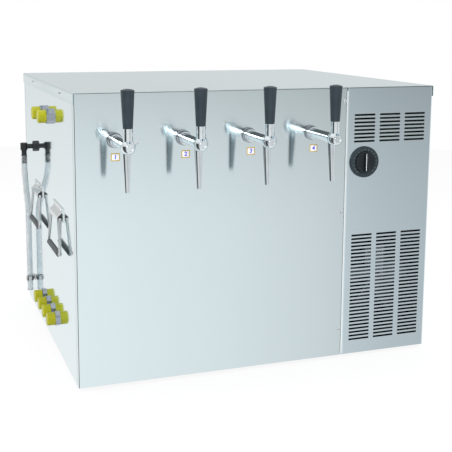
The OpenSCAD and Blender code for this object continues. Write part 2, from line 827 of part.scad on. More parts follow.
module hex_ring(corner_r, bore_r, h) {
    difference() {
        intersection() {
            cylinder(r = corner_r, h = h, $fn = 6);
            cylinder(r = corner_r * 0.955, h = h);
        }
        translate([0, 0, -1]) cylinder(r = bore_r, h = h + 2);
    }
}

module lock_nuts() {
    color("silver") {
        at_inlets() out_left() hex_ring(nut_corner_r, stem_r + fit_gap, beer_nut_t);
        at_waters() out_left() hex_ring(nut_corner_r, stem_r + fit_gap, water_nut_t);
        for (i = [1 : 4]) translate([tap_x(i), sheet + 7, tap_z])
            out_front() hex_ring(13, shank_r + fit_gap, 7);
    }
}

module mains_gland() {
    color("black") translate([gland_x, cab_d, gland_z]) rotate([-90, 0, 0]) difference() {
        union() {
            translate([0, 0, -10]) cylinder(r = 8, h = 12);
            cylinder(r = 12, h = 7, $fn = 6);
            rotate_extrude() turned_2d(0, 9.5, gland_out, 4);
        }
        translate([0, 0, -11]) cylinder(r = 4, h = gland_out + 12);
    }
}

// cap over a stem, its mouth just clear of the nut
module cap(nut_t) {
    translate([-nut_t - fit_gap, 0, 0]) out_left() difference() {
        rotate_extrude() turned_2d(0, cap_r, cap_len, 2.5);
        translate([0, 0, -1]) cylinder(r = stem_r + fit_gap, h = cap_len - cap_wall + 1);
    }
}

module inlet_cap(i) {
    color("yellow") translate([0, inlet_y(i), inlet_z]) cap(beer_nut_t);
}

module water_cap(i) {
    color("yellow") translate([0, water_y(i), water_z]) cap(water_nut_t);
}

// handles are drawn for the right face; the left pair is its mirror image
module at_handle(side, y) {
    if (side == 1) translate([cab_w, y, handle_z]) children();
    else mirror([1, 0, 0]) translate([0, y, handle_z]) children();
}

module handle_bracket() {
    half = handle_w / 2;
    edge = half + plate_edge;
    difference() {
        union() {
            translate([0, -edge, -plate_low]) cube([plate_t, 2 * edge, plate_low + plate_top]);
            translate([0, half, 0]) rotate([90, 0, 0]) linear_extrude(handle_w)
                polygon([[0, hood_top], [plate_t, hood_top], [hood_out, hood_z],
                    [hood_out, -hood_lip], [hood_out - hood_t, -hood_lip],
                    [hood_out - hood_t, hood_z - 0.6], [1, hood_top - 2], [0, hood_top - 2]]);
            for (s = [-1, 1]) {
                translate([0, s * (half - bush_l / 2) - bush_l / 2, -2.5]) cube([pivot_out, bush_l, 5]);
                translate([pivot_out, s * (half - bush_l / 2) + bush_l / 2, 0]) rotate([90, 0, 0])
                    cylinder(r = bush_r, h = bush_l);
                translate([0, s * (half + plug_t / 2) + plug_t / 2, 0]) rotate([90, 0, 0])
                    linear_extrude(plug_t) polygon([[0, hood_top - 1], [plate_t, hood_top - 1],
                        [hood_out - 0.6, hood_z - 1], [hood_out - 0.6, -hood_lip - 1.4], [0, -hood_lip - 1.4]]);
                translate([plate_t - 0.2, s * (half - 6), (hood_top + plate_top) / 2])
                    rotate([0, 90, 0]) cylinder(r = 2.6, h = 1.2);
            }
        }
        translate([pivot_out, half + plug_t + 1, 0]) rotate([90, 0, 0])
            cylinder(r = pin_r + run_gap, h = handle_w + 2 * plug_t + 2);
    }
}

module handle_brackets() {
    color("silver") for (s = sides) for (y = handle_ys) at_handle(s, y) handle_bracket();
}

module bail() {
    translate([pivot_out, 0, 0]) rotate([0, -bail_lean, 0]) {
        rod([0, -leg_low, -bail_drop], [0, leg_low, -bail_drop], bail_r);
        for (s = [-1, 1]) {
            rod([0, s * leg_top, 0], [0, s * (handle_w / 2 - bush_l + 1), 0], pin_r);
            translate([0, s * leg_top, 0]) sphere(r = bail_r + 0.12);
            rod([0, s * leg_top, 0], [0, s * leg_low, -bail_drop], bail_r);
            translate([0, s * leg_low, -bail_drop]) sphere(r = bail_r + 0.12);
        }
    }
}

module handle_bail(side, y) {
    color("silver") at_handle(side, y) bail();
}

module handle_grip(side, y) {
    l = 2 * leg_low - 18;
    color("dimgrey") at_handle(side, y)
    translate([pivot_out, 0, 0]) rotate([0, -bail_lean, 0]) translate([0, l / 2, -bail_drop])
    rotate([90, 0, 0]) difference() {
        cylinder(r = bail_grip_r, h = l);
        translate([0, 0, -1]) cylinder(r = bail_r + 0.05, h = l + 2);
    }
}

module at_tap(i) {
    translate([tap_x(i), 0, tap_z]) children();
}

module tap_flanges() {
    color("silver") for (i = [1 : 4]) at_tap(i) out_front()
        rotate_extrude() turned_2d(shank_r + fit_gap, flange_r, flange_t, 2.5);
}

// room for the lever: a round seat on the pivot and a slot for its swing
module lever_room() {
    rotate([0, -90, 0]) linear_extrude(slot_w, center = true) {
        circle(r = hub_r + fit_gap);
        polygon([[0, 0], [24, 0], 24 * [cos(lever_open), -sin(lever_open)]]);
        for (a = [0, -lever_open]) rotate(a)
            translate([0, -stem_pin_r - fit_gap]) square([24, 2 * (stem_pin_r + fit_gap)]);
    }
    rotate([0, 90, 0]) cylinder(r = 2.5 + run_gap, h = 20, center = true);
}

module tap_body() {
    collar = 12;
    difference() {
        union() {
            translate([0, shank_in, 0]) out_front() cylinder(r = shank_r, h = shank_in + flange_t + 1);
            translate([0, -flange_t, 0]) out_front()
                rotate_extrude() turned_2d(0, barrel_r + 2.6, collar, 2);
            translate([0, -flange_t - collar + 1, 0]) out_front()
                cylinder(r = barrel_r, h = ball_reach - flange_t - collar);
            translate([0, -ball_reach + ball_r + 1, 0]) out_front()
                rotate_extrude() turned_2d(0, barrel_r + 1.6, 6, 1.5);
            translate([0, -ball_reach, 0]) difference() {
                sphere(r = ball_r);
                translate([-20, -20 - ball_r * 0.88, -20]) cube([40, 20, 40]);
            }
            translate([0, -ball_reach + ball_r + 2, 0]) rotate([-spout_lean, 0, 0])
                translate([0, 0, -spout_len]) cylinder(r1 = spout_tip_r, r2 = spout_top_r, h = spout_len);
        }
        translate([0, -ball_reach + ball_r + 2, 0]) rotate([-spout_lean, 0, 0])
            translate([0, 0, -spout_len - 1]) cylinder(r = spout_bore_r, h = spout_len - 8);
        translate([0, -ball_reach - ball_r * 0.88 - 1, 0]) rotate([-90, 0, 0])
            rotate_extrude() translate([5.2, 0]) square([0.8, 1.7]);
        translate([0, -ball_reach, 0]) lever_room();
        translate([3, -comp_y, 0]) rotate([0, 90, 0]) cylinder(r = 3 + run_gap, h = 20);
    }
}

module tap_bodies() {
    color("silver") for (i = [1 : 4]) at_tap(i) tap_body();
}

module tap_lever(i) {
    color("silver") at_tap(i) translate([0, -ball_reach, 0]) {
        rotate([0, 90, 0]) cylinder(r = 2.5, h = 19, center = true);
        rotate([0, 90, 0]) cylinder(r = hub_r, h = slot_w - 2 * fit_gap, center = true);
        cylinder(r = stem_pin_r, h = ferrule_top - 4);
        difference() {
            cylinder(r = ferrule_r, h = ferrule_top);
            sphere(r = ball_r + fit_gap);
            translate([0, 0, ferrule_top - 9]) rotate_extrude()
                translate([ferrule_r - 0.8, 0]) square([2, 1.6]);
        }
        translate([0, 0, ferrule_top - 1]) cylinder(r = 4.5, h = 19);
    }
}

module tap_grip(i) {
    grip_l = grip_top - ferrule_top;
    dome_r = 2.4 * grip_r;
    color("black") at_tap(i) translate([0, -ball_reach, ferrule_top]) difference() {
        intersection() {
            cylinder(r1 = ferrule_r, r2 = grip_r, h = grip_l);
            union() {
                translate([0, 0, grip_l - dome_r]) sphere(r = dome_r);
                cylinder(r = dome_r, h = grip_l / 2);
            }
        }
        translate([0, 0, -1]) cylinder(r = 4.5 + fit_gap, h = 20);
    }
}

module tap_compensator(i) {
    hub_x = barrel_r + fit_gap;
    color("silver") at_tap(i) translate([0, -comp_y, 0]) {
        translate([4, 0, 0]) rotate([0, 90, 0]) cylinder(r = 3, h = hub_x);
        translate([hub_x, 0, 0]) rotate([0, 90, 0]) rotate_extrude() turned_2d(0, 6, 7, 1.5);
        rotate([-paddle_angle(i), 0, 0]) translate([hub_x + 4, 0, 0]) rotate([0, 0, 35])
        rotate([0, 90, 0]) translate([0, 0, -1]) linear_extrude(2.5) {
            translate([-3.5, -paddle_len]) square([7, paddle_len]);
            translate([0, -paddle_len]) circle(r = 3.5);
        }
    }
}

to_origin() base_pan();
to_origin() feet();
to_origin() front_panel();
to_origin() service_panel();
to_origin() left_panel();
to_origin() right_panel();
to_origin() rear_panel();
to_origin() top_cover();
to_origin() cabinet_screws();
to_origin() bath_tank();
to_origin() insulation();
to_origin() bath_deck();
to_origin() evaporator_coil();
to_origin() beer_coils();
to_origin() agitator_motor();
to_origin() agitator_rotor();
to_origin() compressor();
to_origin() compressor_grommets();
to_origin() condenser();
to_origin() fan_shroud();
to_origin() fan_motor();
to_origin() fan_blades();
to_origin() thermostat_body();
to_origin() thermostat_bezel();
to_origin() thermostat_knob();
to_origin() overflow_elbow();
to_origin() overflow_hose();
to_origin() hose_clip();
to_origin() line_stems();
to_origin() lock_nuts();
to_origin() mains_gland();
to_origin() inlet_cap(1);  // inlet_cap_1
to_origin() inlet_cap(2);  // inlet_cap_2
to_origin() inlet_cap(3);  // inlet_cap_3
to_origin() inlet_cap(4);  // inlet_cap_4
to_origin() water_cap(1);  // water_cap_1
to_origin() water_cap(2);  // water_cap_2
to_origin() handle_brackets();
to_origin() handle_bail(0, handle_front_y);  // handle_bail_1
to_origin() handle_bail(0, handle_rear_y);  // handle_bail_2
to_origin() handle_bail(1, handle_front_y);  // handle_bail_3
to_origin() handle_bail(1, handle_rear_y);  // handle_bail_4
to_origin() handle_grip(0, handle_front_y);  // handle_grip_1
to_origin() handle_grip(0, handle_rear_y);  // handle_grip_2
to_origin() handle_grip(1, handle_front_y);  // handle_grip_3
to_origin() handle_grip(1, handle_rear_y);  // handle_grip_4
to_origin() tap_flanges();
to_origin() tap_bodies();
to_origin() tap_lever(1);  // tap_lever_1
to_origin() tap_lever(2);  // tap_lever_2
to_origin() tap_lever(3);  // tap_lever_3
to_origin() tap_lever(4);  // tap_lever_4
to_origin() tap_grip(1);  // tap_grip_1
to_origin() tap_grip(2);  // tap_grip_2
to_origin() tap_grip(3);  // tap_grip_3
to_origin() tap_grip(4);  // tap_grip_4
to_origin() tap_compensator(1);  // tap_compensator_1
to_origin() tap_compensator(2);  // tap_compensator_2
to_origin() tap_compensator(3);  // tap_compensator_3
to_origin() tap_compensator(4);  // tap_compensator_4
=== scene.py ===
"""Looks of the water bath beer cooler: finishes, hose, tap numbers, dial marks and studio."""
import math

import bpy
import numpy as np
from mathutils import Matrix, Vector


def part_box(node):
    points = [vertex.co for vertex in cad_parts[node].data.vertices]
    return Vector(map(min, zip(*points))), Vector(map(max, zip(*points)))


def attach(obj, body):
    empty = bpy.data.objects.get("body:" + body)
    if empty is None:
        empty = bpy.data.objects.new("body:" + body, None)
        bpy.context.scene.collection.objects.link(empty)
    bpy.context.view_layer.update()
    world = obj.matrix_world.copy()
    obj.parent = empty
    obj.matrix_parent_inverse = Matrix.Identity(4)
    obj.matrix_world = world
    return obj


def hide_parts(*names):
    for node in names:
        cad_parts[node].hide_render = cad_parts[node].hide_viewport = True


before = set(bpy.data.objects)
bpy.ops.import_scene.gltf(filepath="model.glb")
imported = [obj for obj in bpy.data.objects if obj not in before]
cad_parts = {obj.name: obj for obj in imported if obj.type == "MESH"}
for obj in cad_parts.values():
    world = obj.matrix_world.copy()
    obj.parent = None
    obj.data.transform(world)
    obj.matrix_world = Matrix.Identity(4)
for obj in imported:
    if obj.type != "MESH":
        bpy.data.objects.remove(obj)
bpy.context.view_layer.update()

MM = 0.001
FOUR = (1, 2, 3, 4)

# places taken from the frame
LEFT_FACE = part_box("left_panel")[0].x
RIGHT_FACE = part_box("right_panel")[1].x
FRONT_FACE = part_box("front_panel")[0].y
CABINET_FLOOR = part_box("base_pan")[0].z


def place(x, y, z):
    """The point x, y, z millimetres from the cabinet's front lower left corner, in metres."""
    return np.array([LEFT_FACE + x * MM, FRONT_FACE + y * MM, CABINET_FLOOR + z * MM])


# meshes


def mesh_piece(name, points, faces, smooth=True):
    """A mesh object at the origin from an array of points and a list of faces."""
    mesh = bpy.data.meshes.new(name)
    mesh.from_pydata(np.asarray(points, float).reshape(-1, 3).tolist(), [], faces)
    mesh.update()
    mesh.polygons.foreach_set("use_smooth", np.full(len(mesh.polygons), smooth))
    piece = bpy.data.objects.new(name, mesh)
    bpy.context.scene.collection.objects.link(piece)
    return piece


def grid_faces(rows, columns, wrap_rows=False):
    """Quads of a grid whose columns run round and close, row by row."""
    last = rows if wrap_rows else rows - 1
    r, c = np.meshgrid(np.arange(last), np.arange(columns), indexing="ij")
    c_next, r_next = (c + 1) % columns, (r + 1) % rows
    corners = [r * columns + c, r * columns + c_next,
               r_next * columns + c_next, r_next * columns + c]
    return np.stack(corners, -1).reshape(-1, 4).tolist()


def swept_wall(path, outer, inner, sides):
    """A tube wall carried along a path: ring k is path[k] + r (cos a side + sin a across), with
    side and across square to the path there. It goes out along the outer wall and back inside."""
    along = np.gradient(path, axis=0)
    along /= np.linalg.norm(along, axis=1, keepdims=True)
    side = np.cross(along, [1.0, 0.0, 0.0])
    side /= np.linalg.norm(side, axis=1, keepdims=True)
    across = np.cross(along, side)
    a = np.linspace(0, 2 * np.pi, sides, endpoint=False)
    ring = np.cos(a)[None, :, None] * side[:, None] + np.sin(a)[None, :, None] * across[:, None]
    wall_out = path[:, None] + outer * ring
    wall_in = (path[:, None] + inner * ring)[::-1]
    return np.concatenate([wall_out, wall_in])


def rounded_outline(width, height, radius, steps=6):
    """Points round a rectangle with rounded corners: four quarter circles joined by straights."""
    a = np.linspace(0, np.pi / 2, steps)
    quarter = radius * np.stack([np.cos(a), np.sin(a)], -1)
    turn = np.array([[0, -1], [1, 0]])
    corners = []
    for k, (sx, sy) in enumerate([(1, 1), (-1, 1), (-1, -1), (1, -1)]):
        centre = [sx * (width / 2 - radius), sy * (height / 2 - radius)]
        corners.append(quarter @ np.linalg.matrix_power(turn, k).T + centre)
    return np.concatenate(corners)


def on_front(flat, height, origin):
    """Flat points (u, v) laid on a plane facing the front: u goes right, v up, height forward."""
    u, v = flat[:, 0], flat[:, 1]
    return origin + np.stack([u, -np.broadcast_to(height, u.shape), v], -1)


def plate(name, outline, thickness, origin):
    """A thin plate facing the front with the given outline, its back on the origin's plane."""
    n = len(outline)
    points = np.concatenate([on_front(outline, h, origin) for h in (0.0, thickness)])
    faces = grid_faces(2, n)
    faces += [list(range(n))[::-1], list(range(n, 2 * n))]
    return mesh_piece(name, points, faces, smooth=False)


def boxes(name, centres, axes, halves):
    """Many small boxes: corner = centre + sum of (sign x half size x axis) over three axes."""
    sign = np.array([[i, j, k] for i in (-1, 1) for j in (-1, 1) for k in (-1, 1)], float)
    corners = np.asarray(centres)[:, None] + np.einsum("sa,na,nab->nsb", sign, halves, axes)
    one = np.array([[0, 1, 3, 2], [4, 6, 7, 5], [0, 4, 5, 1],
                    [2, 3, 7, 6], [0, 2, 6, 4], [1, 5, 7, 3]])
    faces = one[None] + 8 * np.arange(len(corners))[:, None, None]
    return mesh_piece(name, corners, faces.reshape(-1, 4).tolist(), smooth=False)


def figure(name, text, size, bold, origin, thickness):
    """A printed figure facing the front, centred on origin, as a mesh."""
    letter = bpy.data.curves.new(name, "FONT")
    letter.body = text
    letter.size = size
    letter.align_x = "CENTER"
    letter.align_y = "CENTER"
    letter.extrude = thickness
    letter.offset = bold
    maker = bpy.data.objects.new(name + "_type", letter)
    bpy.context.scene.collection.objects.link(maker)
    bpy.context.view_layer.update()
    shaped = maker.evaluated_get(bpy.context.evaluated_depsgraph_get())
    mesh = bpy.data.meshes.new_from_object(shaped)
    bpy.data.objects.remove(maker)
    upright = Matrix.Rotation(math.pi / 2, 4, "X")
    mesh.transform(Matrix.Translation(Vector(origin)) @ upright)
    mesh.name = name
    piece = bpy.data.objects.new(name, mesh)
    bpy.context.scene.collection.objects.link(piece)
    return piece


# nodes


def colour(r, g, b):
    """A colour for a socket."""
    return (r, g, b, 1.0)


def grey(level):
    """A grey for a socket."""
    return colour(level, level, level)


def feed(tree, socket, value):
    """Sets a socket to a plain value, or links it to another node's output."""
    if isinstance(value, bpy.types.NodeSocket):
        tree.links.new(value, socket)
    else:
        socket.default_value = value


def number(tree, operation, first, second=0.0):
    """One arithmetic step on numbers or on the outputs of other nodes."""
    step = tree.nodes.new("ShaderNodeMath")
    step.operation = operation
    feed(tree, step.inputs[0], first)
    feed(tree, step.inputs[1], second)
    return step.outputs["Value"]


def mix_colours(tree, fac, first, second, blend="MIX"):
    """The first colour where the factor is 0 and the second, or their blend, where it is 1."""
    mix = tree.nodes.new("ShaderNodeMixRGB")
    mix.blend_type = blend
    for label, value in (("Fac", fac), ("Color1", first), ("Color2", second)):
        feed(tree, mix.inputs[label], value)
    return mix.outputs["Color"]


def mix_shaders(tree, fac, off, on):
    """One shader where the factor is 0 and another where it is 1."""
    mix = tree.nodes.new("ShaderNodeMixShader")
    feed(tree, mix.inputs["Fac"], fac)
    feed(tree, mix.inputs[1], off)
    feed(tree, mix.inputs[2], on)
    return mix.outputs["Shader"]


def split(tree, vector):
    """The X, Y and Z outputs of a vector."""
    node = tree.nodes.new("ShaderNodeSeparateXYZ")
    tree.links.new(vector, node.inputs["Vector"])
    return node.outputs


def coordinates(tree, kind):
    """A texture coordinate output."""
    return tree.nodes.new("ShaderNodeTexCoord").outputs[kind]


# most of a noise lies between these values
NOISE_LOW, NOISE_HIGH = 0.3, 0.7


def object_noise(tree, scale, detail=3.0, rough=0.55):
    """Noise on Object coordinates; scale gives the noise cells per metre along x, y and z."""
    stretch = tree.nodes.new("ShaderNodeMapping")
    stretch.inputs["Scale"].default_value = scale
    noise = tree.nodes.new("ShaderNodeTexNoise")
    noise.inputs["Scale"].default_value = 1.0
    noise.inputs["Detail"].default_value = detail
    noise.inputs["Roughness"].default_value = rough
    tree.links.new(coordinates(tree, "Object"), stretch.inputs["Vector"])
    tree.links.new(stretch.outputs["Vector"], noise.inputs["Vector"])
    return noise.outputs["Fac"]


def spread(tree, fac, low, high, start=NOISE_LOW, end=NOISE_HIGH):
    """A number that runs from low to high as the factor runs from start to end."""
    span = tree.nodes.new("ShaderNodeMapRange")
    for label, value in (("From Min", start), ("From Max", end), ("To Min", low), ("To Max", high)):
        span.inputs[label].default_value = value
    tree.links.new(fac, span.inputs["Value"])
    return span.outputs["Result"]


def blend_colours(tree, noise, first, second):
    """A colour that runs from the first to the second over a noise."""
    ramp = tree.nodes.new("ShaderNodeValToRGB")
    for mark, position, tint in zip(ramp.color_ramp.elements, (NOISE_LOW, NOISE_HIGH),
                                    (first, second)):
        mark.position = position
        mark.color = tint
    tree.links.new(noise, ramp.inputs["Fac"])
    return ramp.outputs["Color"]


def level_ramp(tree, fac, stops):
    """A grey level read between stops of (position, level)."""
    ramp = tree.nodes.new("ShaderNodeValToRGB")
    marks = ramp.color_ramp.elements
    for position, level in stops:
        marks.new(position).color = grey(level)
    marks.remove(marks[0])
    marks.remove(marks[-1])
    tree.links.new(fac, ramp.inputs["Fac"])
    return ramp.outputs["Color"]


def bump(tree, shader, noise, strength, depth):
    """A bump of the given depth in metres from a noise."""
    node = tree.nodes.new("ShaderNodeBump")
    node.inputs["Strength"].default_value = strength
    node.inputs["Distance"].default_value = depth
    tree.links.new(noise, node.inputs["Height"])
    tree.links.new(node.outputs["Normal"], shader.inputs["Normal"])


# finishes


def finish(name, **sockets):
    """A new material, its tree and its shader, with plain values set on the shader's sockets."""
    material = bpy.data.materials.new(name)
    material.use_nodes = True
    shader = material.node_tree.nodes["Principled BSDF"]
    for label, value in sockets.items():
        shader.inputs[label.replace("_", " ")].default_value = value
    return material, material.node_tree, shader


# brushed sheet: cells per metre along and across the grain, how much darker a streak is, and how
# far streaks and clouds change the roughness
GRAIN_LONG, GRAIN_FINE = 2.5, 420.0
CLOUDS = (3.0, 3.0, 2.0)
STREAK_DARK, STREAK_GLOSS, CLOUD_GLOSS = 0.982, 0.012, 0.008
STREAK_BUMP, STREAK_DEPTH = 0.06, 0.03 * MM


def brushed_sheet(name, grain, tone, rough, drawn_out):
    """Stainless sheet brushed along one axis: long fine streaks in colour, gloss and bump, and a
    reflection that is drawn out square to the grain."""
    material, tree, shader = finish(name, Metallic=1.0, Anisotropic=drawn_out)
    scale = [GRAIN_LONG if axis == grain else GRAIN_FINE for axis in "XYZ"]
    streak = object_noise(tree, scale, detail=4.0, rough=0.7)
    cloud = object_noise(tree, CLOUDS, detail=2.0)
    dark = colour(*(STREAK_DARK * c for c in tone))
    tint = blend_colours(tree, streak, dark, colour(*tone))
    tree.links.new(tint, shader.inputs["Base Color"])
    gloss = number(tree, "ADD", spread(tree, streak, rough - STREAK_GLOSS, rough + STREAK_GLOSS),
                   spread(tree, cloud, -CLOUD_GLOSS, CLOUD_GLOSS))
    tree.links.new(gloss, shader.inputs["Roughness"])
    bump(tree, shader, streak, STREAK_BUMP, STREAK_DEPTH)
    way = tree.nodes.new("ShaderNodeTangent")
    way.direction_type = "RADIAL"
    way.axis = grain
    tree.links.new(way.outputs["Tangent"], shader.inputs["Tangent"])
    return material


def wandering(tree, shader, wander, first, second, rough):
    """Lets colour and roughness follow a noise."""
    tint = blend_colours(tree, wander, colour(*first), colour(*second))
    tree.links.new(tint, shader.inputs["Base Color"])
    tree.links.new(spread(tree, wander, *rough), shader.inputs["Roughness"])


METAL_CELLS, METAL_BUMP, METAL_DEPTH = (60, 60, 60), 0.15, 0.02 * MM


def plain_metal(name, first, second, rough, grain):
    """Metal whose two close colours and gloss wander; grain gives its fine cells per metre."""
    material, tree, shader = finish(name, Metallic=1.0)
    wandering(tree, shader, object_noise(tree, METAL_CELLS, detail=4.0), first, second, rough)
    fine = object_noise(tree, (grain, grain, grain), detail=2.0)
    bump(tree, shader, fine, METAL_BUMP, METAL_DEPTH)
    return material


MOULDED_CELLS, MOULDED_BUMP = (45, 45, 45), 0.35


def moulded(name, first, second, rough, grain, depth, **sockets):
    """Moulded plastic or rubber: two close colours, a roughness range, and a fine surface grain."""
    material, tree, shader = finish(name, **sockets)
    wandering(tree, shader, object_noise(tree, MOULDED_CELLS, detail=3.0), first, second, rough)
    fine = object_noise(tree, (grain, grain, grain), detail=2.0)
    bump(tree, shader, fine, MOULDED_BUMP, depth)
    return material


# one stainless steel in four tones; the left side and cover are made lighter than the front,
# painted light
front_sheet = brushed_sheet("front_sheet", "X", (0.75, 0.855, 0.885), 0.13, 0.8)
service_sheet = brushed_sheet("service_sheet", "X", (0.70, 0.825, 0.88), 0.15, 0.8)
side_sheet = brushed_sheet("side_sheet", "Y", (0.785, 0.91, 0.945), 0.08, 0.7)
cover_sheet = brushed_sheet("cover_sheet", "X", (0.76, 0.885, 0.91), 0.2, 0.6)

CHROME = ((0.73, 0.80, 0.835), (0.81, 0.875, 0.91), (0.045, 0.09), 900)
chrome = plain_metal("polished_chrome", *CHROME)
tap_chrome = plain_metal("tap_chrome", *CHROME)
# a darker copy of the chrome for the tap flanges: painted shade
flange_chrome_shaded = plain_metal("flange_chrome_shaded", (0.40, 0.44, 0.47), (0.48, 0.52, 0.55),
                            (0.04, 0.08), 900)
# a darker copy of the zinc for the lock nuts: painted shade
nut_zinc_shaded = plain_metal("nut_zinc_shaded", (0.33, 0.35, 0.39), (0.44, 0.46, 0.50), (0.08, 0.16), 700)
zinc = plain_metal("zinc_plate", (0.55, 0.56, 0.57), (0.66, 0.67, 0.68), (0.22, 0.34), 700)
bright_steel = plain_metal("bright_steel", (0.84, 0.88, 0.90), (0.92, 0.95, 0.96),
                           (0.3, 0.38), 500)
# a lighter copy of the sheet steel for the service panel's folded edge: painted highlight
edge_steel_highlight = plain_metal("edge_steel_highlight", (0.90, 0.94, 0.95), (0.96, 0.98, 0.98), (0.12, 0.18), 500)
galvanised = plain_metal("galvanised", (0.30, 0.31, 0.32), (0.45, 0.46, 0.47), (0.35, 0.5), 300)
# the condenser fins and fan blades are made dark: painted shade inside the cabinet behind the vent
# slots
fin_metal_painted_shade = plain_metal("fin_metal_painted_shade", (0.010, 0.015, 0.020), (0.018, 0.026, 0.034),
                            (0.4, 0.55), 300)
blade_metal_painted_shade = plain_metal("blade_metal_painted_shade", (0.19, 0.215, 0.235), (0.25, 0.275, 0.295),
                              (0.3, 0.42), 300)
hinge_steel = plain_metal("hinge_steel", (0.70, 0.74, 0.75), (0.80, 0.84, 0.85), (0.14, 0.22), 500)
copper = plain_metal("drawn_copper", (0.52, 0.23, 0.12), (0.66, 0.32, 0.18), (0.25, 0.4), 300)

lever_black = moulded("lever_black", (0.022, 0.033, 0.041), (0.029, 0.041, 0.050),
                      (0.32, 0.4), 1400, 0.03 * MM, Specular_IOR_Level=0.2)
fitting_black = moulded("fitting_black", (0.01, 0.011, 0.012), (0.02, 0.021, 0.022),
                        (0.4, 0.5), 900, 0.05 * MM)
paint_black = moulded("paint_black", (0.006, 0.006, 0.007), (0.012, 0.012, 0.013),
                      (0.4, 0.55), 250, 0.06 * MM)
sleeve_grey = moulded("sleeve_grey", (0.05, 0.055, 0.06), (0.1, 0.106, 0.112),
                      (0.55, 0.7), 420, 0.4 * MM)
foot_rubber = moulded("foot_rubber", (0.012, 0.012, 0.012), (0.025, 0.025, 0.025),
                      (0.7, 0.85), 600, 0.1 * MM)
cap_yellow = moulded("cap_yellow", (0.33, 0.33, 0.003), (0.40, 0.395, 0.005),
                     (0.3, 0.42), 500, 0.04 * MM, Specular_IOR_Level=0.45)
foam_cream = moulded("foam_cream", (0.62, 0.54, 0.32), (0.74, 0.66, 0.42),
                     (0.85, 0.95), 350, 0.6 * MM)
dial_grey = moulded("dial_grey", (0.018, 0.029, 0.034), (0.027, 0.040, 0.047),
                    (0.42, 0.52), 900, 0.05 * MM, Specular_IOR_Level=0.3)
dial_black = moulded("dial_black", (0.011, 0.015, 0.018), (0.016, 0.021, 0.025),
                     (0.3, 0.4), 900, 0.03 * MM, Specular_IOR_Level=0.25)
mark_grey = moulded("mark_grey", (0.26, 0.28, 0.29), (0.36, 0.38, 0.39),
                    (0.5, 0.6), 900, 0.02 * MM)
# white for the painted highlight on the thermostat's grip bar
glint_white = moulded("glint_white", (0.72, 0.73, 0.74), (0.82, 0.83, 0.84),
                     (0.5, 0.6), 900, 0.02 * MM)
sticker_white = moulded("sticker_white", (0.80, 0.80, 0.86), (0.86, 0.86, 0.9),
                        (0.35, 0.45), 500, 0.02 * MM)
sticker_amber = moulded("sticker_amber", (0.46, 0.31, 0.05), (0.58, 0.40, 0.08),
                        (0.35, 0.45), 500, 0.02 * MM)
figure_blue = moulded("figure_blue", (0.05, 0.05, 0.62), (0.08, 0.08, 0.75),
                      (0.4, 0.5), 500, 0.02 * MM)
clear_vinyl = moulded("clear_vinyl", (0.76, 0.80, 0.82), (0.84, 0.87, 0.89),
                      (0.08, 0.16), 300, 0.03 * MM, Transmission_Weight=0.92, IOR=1.42)

# handle hinges: depths of the handles' middles, half width of a hood, thickness of a plate
HANDLE_DEPTHS = [float(place(0, y, 0)[1]) for y in (181, 436)]
HOOD_HALF, PLATE_OFF = 45.02 * MM, 2.1 * MM
# black of the hinge plugs, which also paints shade at the hood ends
PLUG_AND_SHADE_BLACK = colour(0.006, 0.007, 0.008)


def blacken_plugs(material):
    """Turns the hinge plugs black, also painting shade at the ends of the hoods: the faces further
    from a handle's middle than its hood reaches, and further off the cabinet's sides than the
    handle plate is thick."""
    tree = material.node_tree
    base = tree.nodes["Principled BSDF"].inputs["Base Color"]
    at = split(tree, coordinates(tree, "Object"))
    aside = [number(tree, "ABSOLUTE", number(tree, "SUBTRACT", at["Y"], y)) for y in HANDLE_DEPTHS]
    past_hood = number(tree, "GREATER_THAN", number(tree, "MINIMUM", *aside), HOOD_HALF)
    out = number(tree, "MAXIMUM", number(tree, "SUBTRACT", LEFT_FACE, at["X"]),
                 number(tree, "SUBTRACT", at["X"], RIGHT_FACE))
    plug_and_shade = number(tree, "MULTIPLY", past_hood, number(tree, "GREATER_THAN", out, PLATE_OFF))
    tree.links.new(mix_colours(tree, plug_and_shade, base.links[0].from_socket, PLUG_AND_SHADE_BLACK), base)
    metallic = tree.nodes["Principled BSDF"].inputs["Metallic"]
    tree.links.new(number(tree, "SUBTRACT", 1.0, plug_and_shade), metallic)


# painted shade on the backs of the spouts: how dark, the range of the normal's y, the height they
# start below and the length over which they fade in
BACK_SHADE_LEVEL, BACK_SHADE_FACING = 0.4, (0.1, 0.5)
BACK_SHADE_BELOW, BACK_SHADE_FADE = float(place(0, 0, 458)[2]), 10 * MM


def dull_backs(material):
    """Paints shade on the spouts: darkens the metal on the faces that look back at the cabinet."""
    tree = material.node_tree
    base = tree.nodes["Principled BSDF"].inputs["Base Color"]
    facing = split(tree, tree.nodes.new("ShaderNodeNewGeometry").outputs["Normal"])
    at = split(tree, coordinates(tree, "Object"))
    backs = spread(tree, facing["Y"], 0.0, 1.0, *BACK_SHADE_FACING)
    low = spread(tree, at["Z"], 1.0, 0.0, BACK_SHADE_BELOW - BACK_SHADE_FADE, BACK_SHADE_BELOW)
    back_shade = number(tree, "MULTIPLY", backs, low)
    steel = base.links[0].from_socket
    tree.links.new(mix_colours(tree, back_shade, steel, grey(BACK_SHADE_LEVEL), "MULTIPLY"), base)


# painted shade on the backs of the spouts
dull_backs(tap_chrome)
# black plugs with painted shade at the hood ends
blacken_plugs(hinge_steel)


def each(stem):
    """The names of four like pieces."""
    return [f"{stem}_{i}" for i in FOUR]


